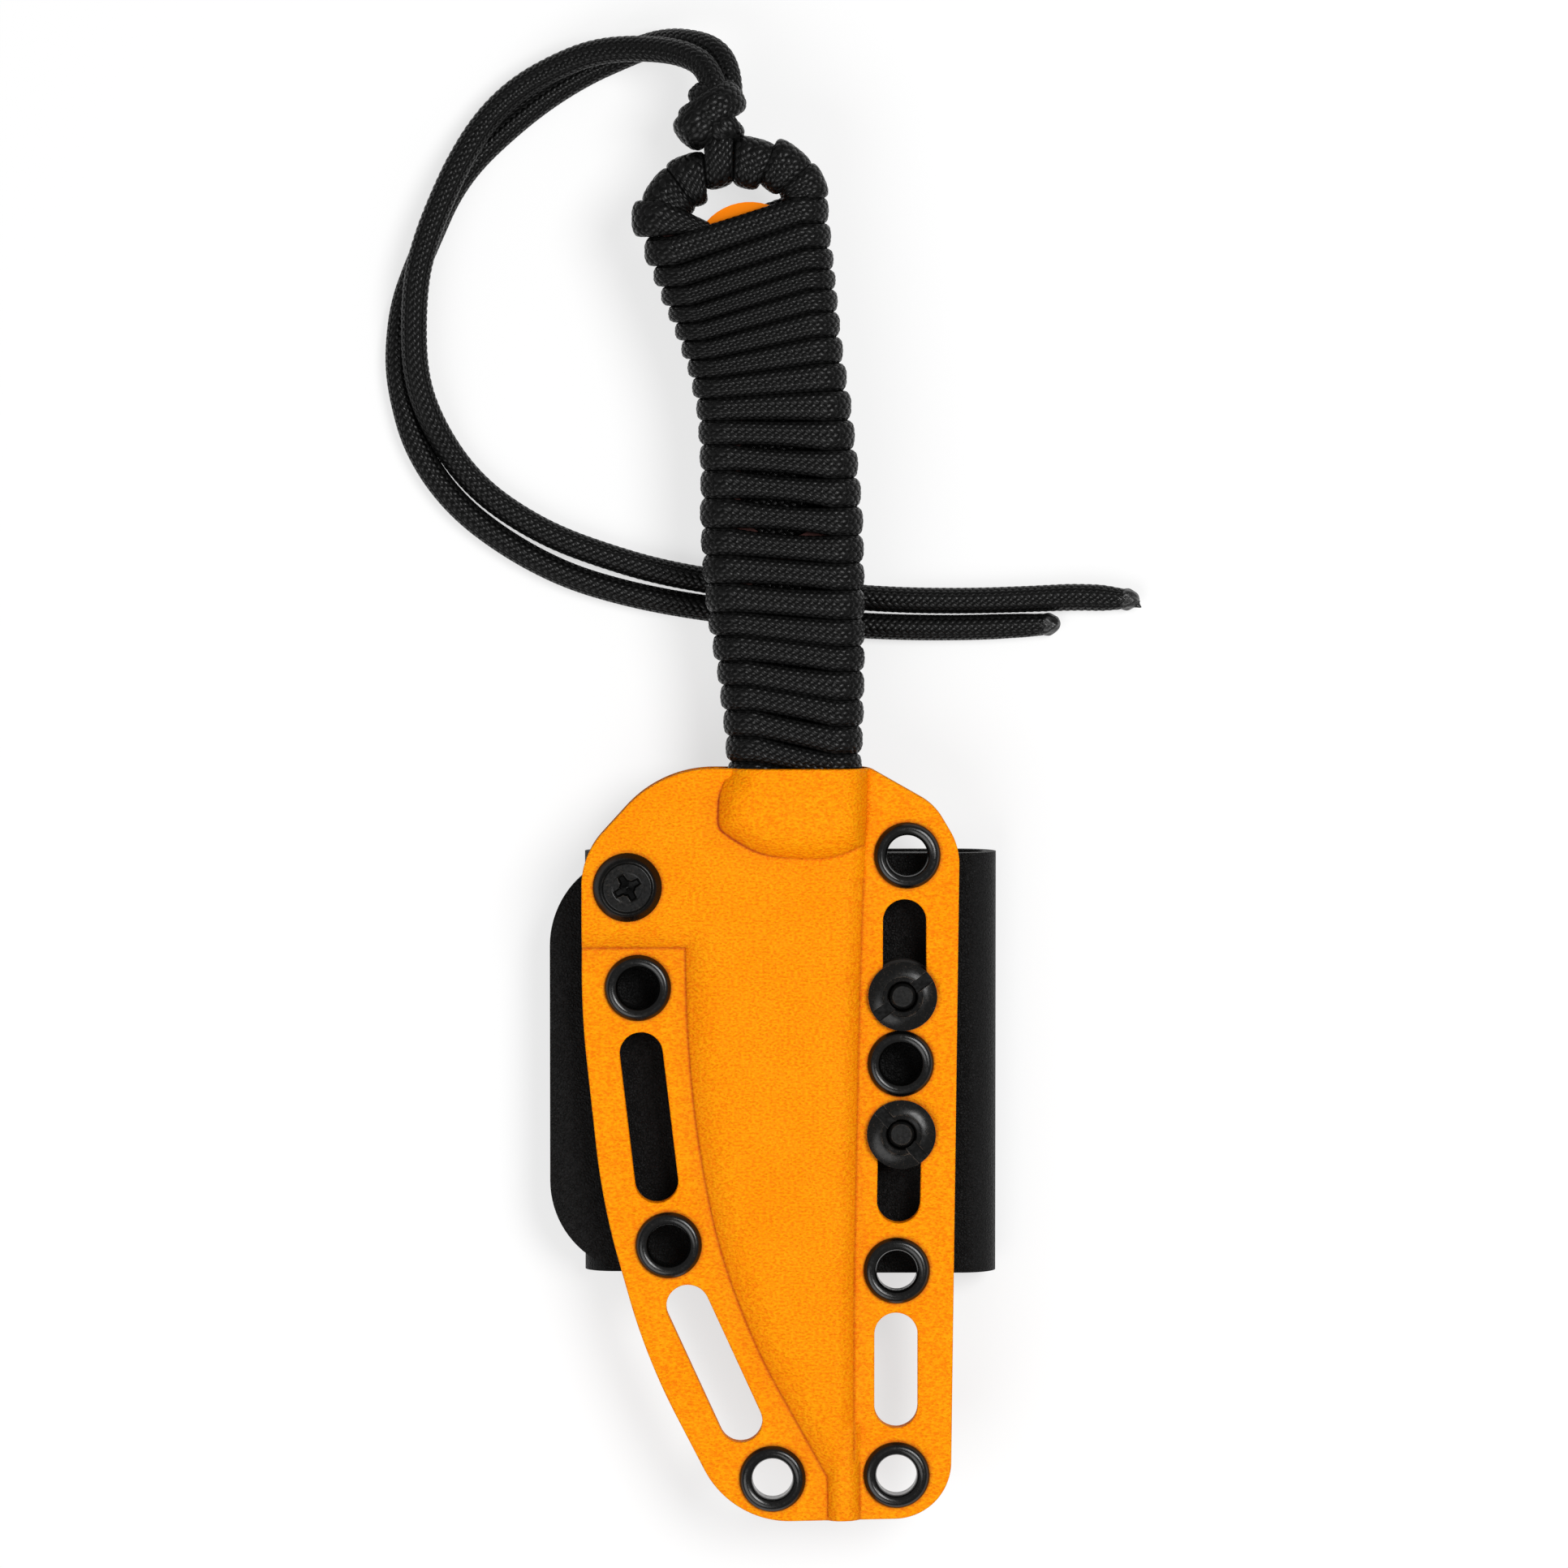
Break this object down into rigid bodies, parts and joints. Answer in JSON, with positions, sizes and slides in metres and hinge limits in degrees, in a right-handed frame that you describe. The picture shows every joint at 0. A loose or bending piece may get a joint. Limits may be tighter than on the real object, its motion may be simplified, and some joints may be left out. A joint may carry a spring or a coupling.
{
  "type": "rigging knife",
  "caption": "Fixed-blade knife with a cord-wrapped ring tang and a corded lanyard, in a moulded two-shell sheath with eyelets, slots and a folded belt loop.",
  "frame": {"origin": "centre of the belt loop's outer face, which the sheath lies on", "axes": "+X right of the sheath seen from its front, +Y towards the handle's butt, +Z out of the sheath's front"},
  "size_m": [0.1207, 0.2356, 0.0233],
  "materials": {
    "coated_steel": "satin",
    "sheath_sheet": "matte",
    "wrap_cord": "matte",
    "lanyard_cord": "matte",
    "melted_end": "gloss",
    "eyelet_metal": "satin",
    "black_hardware": "satin",
    "rubber_spacer": "matte",
    "loop_sheet": "matte"
  },
  "bodies": {
    "sheath": {"sheath_front_shell": "sheath_sheet", "sheath_back_shell": "sheath_sheet", "eyelet_right_1": "eyelet_metal", "eyelet_right_2": "eyelet_metal", "eyelet_right_3": "eyelet_metal", "eyelet_right_4": "eyelet_metal", "eyelet_left_1": "eyelet_metal", "eyelet_left_2": "eyelet_metal", "eyelet_left_3": "eyelet_metal", "retention_grommet": "rubber_spacer", "retention_washer": "black_hardware", "retention_post": "black_hardware", "mount_post_upper": "black_hardware", "mount_screw_upper": "black_hardware", "mount_spacer_upper": "rubber_spacer", "mount_post_lower": "black_hardware", "mount_screw_lower": "black_hardware", "mount_spacer_lower": "rubber_spacer", "belt_loop": "loop_sheet"},
    "knife": {"blade_and_tang": "coated_steel", "handle_wrap": "wrap_cord", "ring_wrap": "wrap_cord", "lanyard_loop": "lanyard_cord", "lanyard_knot": "lanyard_cord", "lanyard_strand_long": "lanyard_cord", "lanyard_strand_short": "lanyard_cord", "lanyard_tip_long": "melted_end", "lanyard_tip_short": "melted_end"},
    "retention_screw_body": {"retention_screw": "black_hardware"}
  },
  "joints": [
    {"name": "knife_draw", "type": "slide", "parent": "sheath", "child": "knife", "axis": [0, 1, 0], "range_m": [0, 0.115]},
    {"name": "retention_screw_turn", "type": "hinge", "parent": "sheath", "child": "retention_screw_body", "pos_m": [-0.0255, 0.0284, 0.018], "axis": [0, 0, 1], "range_deg": [-180, 180]}
  ]
}
